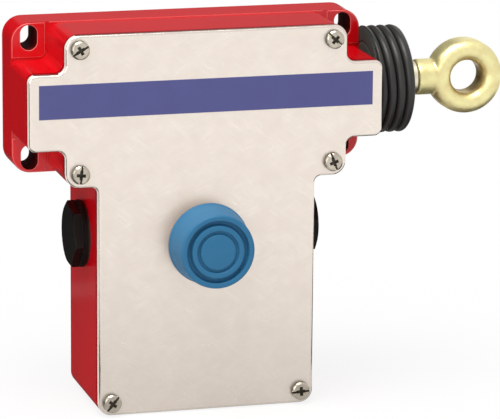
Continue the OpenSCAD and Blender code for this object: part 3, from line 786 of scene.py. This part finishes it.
class SWITCH_OT_bellows(bpy.types.Operator):
    """Make the ribbed rubber bellows"""

    bl_idname = "switch.bellows"
    bl_label = "Make Bellows"

    def execute(self, context):
        sizes = context.scene.switch_sizes
        looks = ("rubber", "wall")
        outer = (BELLOWS_HIGH.z - BELLOWS_LOW.z) / 2
        reach = BELLOWS_HIGH.x - BELLOWS_LOW.x
        shaft = (SHAFT_HIGH.z - SHAFT_LOW.z) / 2
        bore, wall = 9.5 * MM, 0.8 * MM          # of the wall at the box
        pressed = 0.3 * MM                       # depth of the ring pressed in that wall
        first = 2.4 * MM                         # middle of the first rib
        crest = outer - sizes.rib_radius
        valley = outer - sizes.rib_depth
        flange, inner = outer - 2.5 * MM, outer - 4.6 * MM
        profile = [(bore, 0), (13.4 * MM, 0), (13.6 * MM, pressed), (14.3 * MM, pressed),
                   (14.5 * MM, 0), (outer - 1.3 * MM, 0)]
        rounding = [(i, 0.12 * MM) for i in range(1, 5)] + [(5, 0.3 * MM)]
        for rib in range(4):
            middle = first + rib * sizes.rib_pitch
            if rib:
                profile.append((valley, middle - sizes.rib_pitch / 2))
            for step in range(9):
                turn = math.radians(-80 + 20 * step)
                profile.append((crest + sizes.rib_radius * math.cos(turn),
                                middle + sizes.rib_radius * math.sin(turn)))
        end = middle + sizes.rib_radius
        # the end face steps in to a sleeve on the shaft, and the inside comes back to the wall
        profile += [(outer - 4.5 * MM, end - 0.1 * MM), (outer - 6 * MM, end - 0.9 * MM),
                    (shaft + 3.2 * MM, end - 0.9 * MM), (shaft + 1.5 * MM, reach),
                    (shaft + 0.05 * MM, reach), (shaft + 0.05 * MM, end - 2.3 * MM),
                    (inner, end - 2.3 * MM), (inner, first + 1.2 * MM), (flange, first + 1 * MM),
                    (flange, wall), (bore, wall)]
        last = len(profile)
        rounding += [(last - 11, 0.5 * MM), (last - 10, 0.5 * MM), (last - 9, 1.2 * MM),
                     (last - 8, 0.4 * MM)]
        centre = Vector((BELLOWS_LOW.x, ROPE_AXIS.y, ROPE_AXIS.z))
        bm = turned(profile, centre, X, 120, True, rounding)
        # the ribs sag towards the box at the top
        for vert in bm.verts:
            up = (vert.co.z - centre.z) / MM
            along = vert.co.x - centre.x
            sag = max(0.0, 0.15 + 0.0539 * up + 0.00186 * up * up) * MM
            vert.co.x -= sag * min(1.0, along / first) * min(1.0, max(0.0, (reach - along) / (3 * MM)))
        # the back wall's faces take the green-tinted rubber, a painted correction of the red bounce light
        for face in bm.faces:
            if face.normal.x < -0.5 and face.calc_center_median().x < BELLOWS_LOW.x + 0.5 * MM:
                face.material_index = looks.index("wall")
        obj = piece("ribbed_bellows", bm, looks, ["bellows"], 50)
        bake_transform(obj)
        return {"FINISHED"}


class SWITCH_OT_rope_eye(bpy.types.Operator):
    """Make the forged rope eye: ring and neck blended into one, and its threaded shank"""

    bl_idname = "switch.rope_eye"
    bl_label = "Make Rope Eye"

    def execute(self, context):
        sizes = context.scene.switch_sizes
        outer = (EYE_HIGH.z - EYE_LOW.z) / 2
        ring = Vector((EYE_HIGH.x - outer, ROPE_AXIS.y, ROPE_AXIS.z))
        half = (EYE_HIGH.y - EYE_LOW.y) / 2 - 0.15 * MM
        hole = outer - sizes.ring_width
        start = SHAFT_HIGH.x + 0.1 * MM
        # ring: a rounded section carried round the hole
        section = [(hole, -half), (outer, -half), (outer, half), (hole, half)]
        bm = turned(section, ring, -Y, 96, True, [(i, sizes.ring_corner) for i in range(4)])
        # neck: a turned bar with a round end inside the ring
        neck = sizes.neck / 2
        reach = ring.x - hole - 0.8 * MM - neck - start
        tip = [(neck * math.cos(math.radians(a)), reach + neck * math.sin(math.radians(a)))
               for a in range(0, 90, 6)]
        bar = [(0, 0), (neck - 0.5 * MM, 0), (neck, 0.5 * MM), *tip, (0, reach + neck)]
        add_mesh(bm, turned(bar, Vector((start, ring.y, ring.z)), X, 64))
        obj = piece("forged_eye", bm, ("zinc",), ["rope_eye"], 180)
        # both joined as one skin, and the corner between them smoothed as in a forging
        join = obj.modifiers.new("Join", "REMESH")
        join.mode = "VOXEL"
        join.voxel_size = 0.4 * MM
        blend = obj.modifiers.new("Blend", "SMOOTH")
        blend.factor = 0.5
        blend.iterations = 9
        shown = obj.evaluated_get(bpy.context.evaluated_depsgraph_get())
        forged = bpy.data.meshes.new_from_object(shown)
        obj.modifiers.clear()
        obj.data = forged
        forged.shade_smooth()
        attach(obj, "pull_gear")
        # shank: a rolled thread between the shaft and the neck
        radius = (SHAFT_HIGH.z - SHAFT_LOW.z) / 2 - 2.1 * MM
        foot = Vector((SHAFT_HIGH.x - 3.5 * MM, ring.y, ring.z))
        bm = threaded(radius, 0.7 * MM, sizes.shank_pitch, 4, foot, X)
        shank = piece("eye_shank", bm, ("zinc",), [], 40)
        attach(shank, "pull_gear")
        return {"FINISHED"}


class SWITCH_OT_boot(bpy.types.Operator):
    """Make the ringed rubber boot of the reset button"""

    bl_idname = "switch.boot"
    bl_label = "Make Reset Boot"

    def execute(self, context):
        foot = (BOOT_HIGH.x - BOOT_LOW.x) / 2
        height = BOOT_HIGH.y - BOOT_LOW.y
        face = foot - 1.6 * MM
        centre = Vector(((BOOT_LOW.x + BOOT_HIGH.x) / 2, BOOT_HIGH.y, (BOOT_LOW.z + BOOT_HIGH.z) / 2))
        dish = height - 0.1 * MM                 # middle of the face
        groove, deep = height - 1.2 * MM, height - 2.2 * MM
        inside = height - 3.6 * MM
        profile = [(0, dish), (6.5 * MM, dish), (6.7 * MM, groove), (7.6 * MM, groove),
                   (7.9 * MM, height), (9.7 * MM, height), (10 * MM, deep), (11.4 * MM, deep),
                   (11.7 * MM, height), (face, height), (face + 0.3 * MM, height - 1.6 * MM),
                   (foot - 0.4 * MM, 2.2 * MM), (foot, 1.3 * MM), (foot, 0), (12.1 * MM, 0),
                   (11.8 * MM, 2 * MM), (11 * MM, inside), (0, inside)]
        rounding = [(i, 0.2 * MM) for i in (*range(1, 9), 13)] + [(i, 0.9 * MM) for i in range(9, 12)]
        rounding.append((12, 0.45 * MM))
        bm = turned(profile, centre, -Y, 128, False, rounding)
        obj = piece("reset_button_boot", bm, ("boot",), ["reset_boot"], 60)
        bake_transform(obj)
        return {"FINISHED"}


class SWITCH_OT_springs(bpy.types.Operator):
    """Wind the three springs"""

    bl_idname = "switch.springs"
    bl_label = "Wind Springs"

    def execute(self, context):
        # node, wire and number of turns, then the way it points and what holds and pushes it
        for node, wire, turns, axis, held, pushed in (
                ("main_spring", 1.8 * MM, 5, X, "pull_gear", "case"),
                ("reset_spring", 0.9 * MM, 4, -Y, "case", "reset"),
                ("latch_spring", 0.7 * MM, 7, -Y, "case", "latch")):
            low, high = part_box(node)
            along = abs((high - low).dot(axis))
            radius = (high.z - low.z - wire) / 2
            start = (low + high) / 2 - axis * along / 2
            bm = wound(radius, wire, turns, along, start, axis)
            obj = piece(node + "_coil", bm, ("spring",), [node], 60)
            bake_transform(obj)
        return {"FINISHED"}


# finishes of the frame's own pieces that stay as they are
KEPT = {
    "rubber": ("cover_gasket", "plug_seals"),
    "brass": ("gland_bush", "contact_terminals", "terminal_screws", "earth_screw"),
    "shaft": ("pull_shaft",),
    "steel": ("left_guide", "latch_bracket", "latch_pin", "latch_lever", "stop_ring", "cam_pin",
              "spring_washer", "reset_bush", "reset_nut", "reset_plunger"),
    "screw": ("guide_screws", "contact_screws", "bracket_screws", "strip_screws"),
    "black": ("contact_block_left", "contact_block_right"),
    "cream": ("trip_cam", "terminal_strip"),
    "red": ("contact_plunger_left", "contact_plunger_right"),
}


class SWITCH_OT_inner_parts(bpy.types.Operator):
    """Give the mechanism, seals and terminals their finishes"""

    bl_idname = "switch.inner_parts"
    bl_label = "Finish Inner Parts"

    def execute(self, context):
        for finish, names in KEPT.items():
            for name in names:
                mesh = NODES[name].data
                mesh.materials.clear()
                mesh.materials.append(FINISHES[finish])
        return {"FINISHED"}


# ---- the studio ----
FLOOR_GAP = 0.3 * MM


def add_lamp(name, place, aim, width, height, power, tint=(1, 1, 1)):
    lamp = bpy.data.lights.new(name, "AREA")
    lamp.shape = "RECTANGLE"
    lamp.size, lamp.size_y, lamp.energy, lamp.color = width, height, power, tint
    obj = bpy.data.objects.new(name, lamp)
    obj.location = place
    obj.rotation_euler = (aim - place).to_track_quat("-Z", "Y").to_euler()
    bpy.context.scene.collection.objects.link(obj)


def add_card(name, low, high, grey):
    """A plain flat glowing screen from one corner to the other, seen only by shiny faces: a painted
    reflection.
    """
    size = high - low
    flat = min(range(3), key=lambda axis: size[axis])
    turn = Matrix.Identity(4) if flat == 2 else Matrix.Rotation(math.pi / 2, 4, "YX"[flat])
    bm = bmesh.new()
    bmesh.ops.create_grid(bm, x_segments=1, y_segments=1, size=0.5, matrix=turn)
    bmesh.ops.scale(bm, vec=size, verts=bm.verts)
    bmesh.ops.translate(bm, vec=(low + high) / 2, verts=bm.verts)
    mesh = bpy.data.meshes.new(name)
    bm.to_mesh(mesh)
    bm.free()
    obj = bpy.data.objects.new(name, mesh)
    bpy.context.scene.collection.objects.link(obj)
    card = bpy.data.materials.new(name)
    card.use_nodes = True
    card.node_tree.nodes.clear()
    glow = card.node_tree.nodes.new("ShaderNodeEmission")
    glow.inputs["Strength"].default_value = grey
    output = card.node_tree.nodes.new("ShaderNodeOutputMaterial")
    card.node_tree.links.new(glow.outputs[0], output.inputs["Surface"])
    mesh.materials.append(card)
    obj.visible_camera = obj.visible_diffuse = obj.visible_shadow = obj.visible_transmission = False


def floor_material(centre):
    """White paper: it takes the switch's shadow, and ends in plain white away from the centre."""
    mat = bpy.data.materials.new("studio_floor")
    mat.use_nodes = True
    tree = mat.node_tree
    tree.nodes.clear()
    place = tree.nodes.new("ShaderNodeTexCoord").outputs["Object"]
    away = tree.nodes.new("ShaderNodeVectorMath")
    away.operation = "DISTANCE"
    tree.links.new(place, away.inputs[0])
    away.inputs[1].default_value = centre
    paper = tree.nodes.new("ShaderNodeBsdfDiffuse")
    paper.inputs["Color"].default_value = (0.86, 0.86, 0.86, 1)
    glow = tree.nodes.new("ShaderNodeEmission")
    path = tree.nodes.new("ShaderNodeLightPath")
    seen = add_math(tree, "ADD", path.outputs["Is Camera Ray"], path.outputs["Is Glossy Ray"])
    seen = add_math(tree, "ADD", seen, path.outputs["Is Transmission Ray"])
    # how white the paper looks, and how bright it is in the switch's shiny faces, where it is painted
    # darker near the switch as shade
    white = add_range(tree, away.outputs["Value"], 0.06, 0.22, 0.86, 1.0)
    mirrored = add_range(tree, away.outputs["Value"], 0.03, 0.3, 0.55, 1.0)
    strength = add_mix(tree, path.outputs["Is Glossy Ray"], (1, 1, 1), mirrored)
    tree.links.new(strength, glow.inputs["Strength"])
    share = add_math(tree, "MULTIPLY", add_math(tree, "MINIMUM", seen, 1.0), white)
    mix = tree.nodes.new("ShaderNodeMixShader")
    tree.links.new(share, mix.inputs[0])
    tree.links.new(paper.outputs[0], mix.inputs[1])
    tree.links.new(glow.outputs[0], mix.inputs[2])
    output = tree.nodes.new("ShaderNodeOutputMaterial")
    tree.links.new(mix.outputs[0], output.inputs["Surface"])
    return mat


def white_world(ambient):
    """White wherever it is seen or mirrored, and a soft light of that strength on dull faces."""
    world = bpy.data.worlds.new("studio")
    bpy.context.scene.world = world
    world.use_nodes = True
    tree = world.node_tree
    tree.nodes.clear()
    path = tree.nodes.new("ShaderNodeLightPath")
    seen = add_math(tree, "ADD", path.outputs["Is Camera Ray"], path.outputs["Is Glossy Ray"])
    seen = add_math(tree, "MINIMUM", add_math(tree, "ADD", seen, path.outputs["Is Transmission Ray"]), 1.0)
    background = tree.nodes.new("ShaderNodeBackground")
    tree.links.new(add_range(tree, seen, 0.0, 1.0, ambient, 1.0), background.inputs["Strength"])
    output = tree.nodes.new("ShaderNodeOutputWorld")
    tree.links.new(background.outputs[0], output.inputs["Surface"])


class SWITCH_OT_stage(bpy.types.Operator):
    """Set the camera, the floor, the lamps and the white surroundings"""

    bl_idname = "switch.stage"
    bl_label = "Set Stage"

    def execute(self, context):
        scene = context.scene
        scene.view_settings.view_transform = "Standard"
        # camera: where it stands round the switch, and what it looks at
        azimuth, elevation, roll = (math.radians(a) for a in (-15.54, 13.22, 0.44))
        distance = 1.36654
        target = Vector((0.02114, -0.028, -0.043595))
        back = Vector((math.sin(azimuth) * math.cos(elevation),
                       -math.cos(azimuth) * math.cos(elevation), math.sin(elevation)))
        camera = bpy.data.cameras.new("camera")
        camera.sensor_width, camera.lens = 36.0, 265.4
        camera.clip_start, camera.clip_end = 0.05, 20.0
        view = bpy.data.objects.new("camera", camera)
        view.location = target + back * distance
        view.rotation_mode = "QUATERNION"
        level = (-back).to_track_quat("-Z", "Y")
        view.rotation_quaternion = Matrix.Rotation(roll, 3, back).to_quaternion() @ level
        scene.collection.objects.link(view)
        scene.camera = view
        # floor
        foot = HOUSING_LOW.z - FLOOR_GAP
        bm = bmesh.new()
        bmesh.ops.create_grid(bm, x_segments=1, y_segments=1, size=4)
        bmesh.ops.translate(bm, vec=(0, 0, foot), verts=bm.verts)
        mesh = bpy.data.meshes.new("floor")
        bm.to_mesh(mesh)
        bm.free()
        floor = bpy.data.objects.new("floor", mesh)
        scene.collection.objects.link(floor)
        mesh.materials.append(floor_material((0, (HOUSING_LOW.y + HOUSING_HIGH.y) / 2, foot)))
        white_world(0.44)
        middle = (SWITCH_LOW + SWITCH_HIGH) / 2
        add_lamp("key", middle + Vector((-0.3, -0.32, 1.25)), middle, width=0.9, height=0.7, power=17.0,
                 tint=(1.0, 0.97, 0.93))
        add_lamp("fill", middle + Vector((-0.9, -0.9, 0.3)), middle, width=0.8, height=0.8, power=3.2)
        # screens that only the shiny faces mirror, dark or grey painted reflections: name, corner to
        # corner, grey
        for name, low, high, grey in (
                ("low_screen", (-0.16, 0.1, foot), (0.1, 0.1, foot + 0.007), 0.07),
                ("strip_screen", (-0.16, 0.1, foot + 0.007), (0.1, 0.1, foot + 0.013), 0.14),
                ("leg_screen", (-0.16, 0.1, foot + 0.013), (0.1, 0.1, foot + 0.06), 0.07),
                ("bar_screen", (-0.16, 0.1, foot + 0.06), (0.1, 0.1, foot + 0.148), 0.02),
                ("corner_screen", (-0.4, 0.2, foot), (-0.07, 0.2, foot + 0.34), 0.03),
                ("top_screen", (-0.07, 0.2, foot + 0.148), (0.14, 0.2, foot + 0.37), 0.17),
                ("floor_screen", (-0.16, -0.045, foot + 0.0001), (0.06, 0.1, foot + 0.0001), 0.07),
                ("upper_screen", (-0.1, 0.0, foot + 0.37), (0.13, 0.3, foot + 0.37), 0.03),
                ("side_screen", (-0.4, -0.12, foot), (-0.4, 0.2, foot + 0.34), 0.05),
                ("rim_floor", (-0.25, -0.115, foot + 0.0001), (-0.06, -0.05, foot + 0.0001), 0.0),
                ("rim_screen", (-0.25, -0.17, foot), (-0.25, -0.05, foot + 0.12), 0.0),
                ("eye_screen", (0.085, -0.08, foot + 0.001), (0.3, 0.12, foot + 0.001), 0.04)):
            add_card(name, Vector(low), Vector(high), grey)
        return {"FINISHED"}


STEPS = (SWITCH_OT_stage, SWITCH_OT_finishes, SWITCH_OT_housing, SWITCH_OT_cover, SWITCH_OT_screws,
         SWITCH_OT_plugs, SWITCH_OT_bellows, SWITCH_OT_rope_eye, SWITCH_OT_boot, SWITCH_OT_springs,
         SWITCH_OT_inner_parts)


class SWITCH_PT_panel(bpy.types.Panel):
    """Sizes, colours and the steps that make the switch"""

    bl_idname = "SWITCH_PT_panel"
    bl_label = "Rope Pull Switch"
    bl_space_type = "VIEW_3D"
    bl_region_type = "UI"
    bl_category = "Pull Switch"

    def draw(self, context):
        for settings in (context.scene.switch_sizes, context.scene.switch_colours):
            box = self.layout.box()
            for name in settings.bl_rna.properties.keys():
                if name not in ("rna_type", "name"):
                    box.prop(settings, name)
        for step in STEPS:
            self.layout.operator(step.bl_idname)


CLASSES = (SwitchSizes, SwitchColours, *STEPS, SWITCH_PT_panel)


def register():
    for cls in CLASSES:
        bpy.utils.register_class(cls)
    bpy.types.Scene.switch_sizes = bpy.props.PointerProperty(type=SwitchSizes)
    bpy.types.Scene.switch_colours = bpy.props.PointerProperty(type=SwitchColours)


def unregister():
    del bpy.types.Scene.switch_colours
    del bpy.types.Scene.switch_sizes
    for cls in reversed(CLASSES):
        bpy.utils.unregister_class(cls)


def main():
    register()
    for step in STEPS:
        family, name = step.bl_idname.split(".")
        getattr(getattr(bpy.ops, family), name)()


if __name__ == "__main__":
    main()
